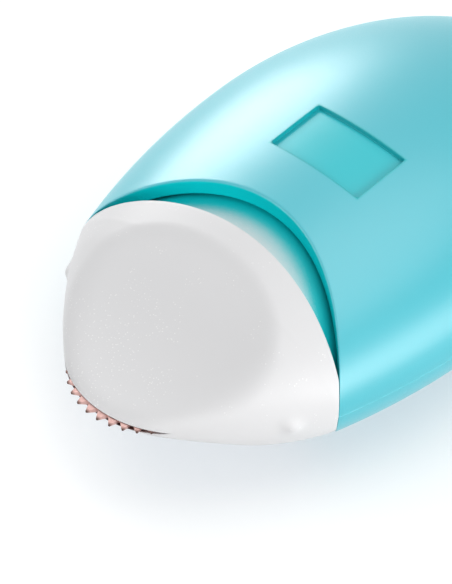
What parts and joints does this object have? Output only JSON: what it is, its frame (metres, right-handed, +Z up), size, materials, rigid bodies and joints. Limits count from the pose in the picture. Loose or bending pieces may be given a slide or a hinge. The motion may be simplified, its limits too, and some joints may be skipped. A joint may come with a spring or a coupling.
{
  "type": "chalk wheel marker",
  "caption": "Palm-sized sewing marker shaped like a computer mouse: hollow oval handle, white scooped powder cartridge and a toothed marking wheel at its tip.",
  "frame": {"origin": "bottom centre of the bounding box, on the surface that the marker lies on", "axes": "+Y from the wheel to the tail along the long axis, +Z up through the broad back with the recess, +X across"},
  "size_m": [0.044, 0.0736, 0.0236],
  "materials": {
    "handle_plastic": "satin turquoise moulding",
    "cartridge_plastic": "satin white moulding",
    "powder": "loose white chalk powder",
    "coppery_metal": "stamped, coppery pink",
    "hub_plastic": "natural acetal",
    "steel": "ground",
    "plug_rubber": "matt"
  },
  "bodies": {
    "handle": {"upper_shell": "handle_plastic", "lower_shell": "handle_plastic"},
    "cartridge": {"upper_cheek": "cartridge_plastic", "lower_cheek": "cartridge_plastic", "chalk_powder": "powder", "wheel_axle": "steel"},
    "wheel": {"chalk_wheel": "coppery_metal", "wheel_hub": "hub_plastic"},
    "plug": {"filler_plug": "plug_rubber"}
  },
  "joints": [
    {"name": "cartridge_slide", "type": "slide", "parent": "handle", "child": "cartridge", "axis": [0, -1, 0], "range_m": [0, 0.022]},
    {"name": "wheel_spin", "type": "hinge", "parent": "cartridge", "child": "wheel", "pos_m": [0, -0.02819, 0.01159], "axis": [0, 0, 1], "continuous": true},
    {"name": "plug_pull", "type": "slide", "parent": "cartridge", "child": "plug", "axis": [0, 1, 0], "range_m": [0, 0.006]}
  ]
}
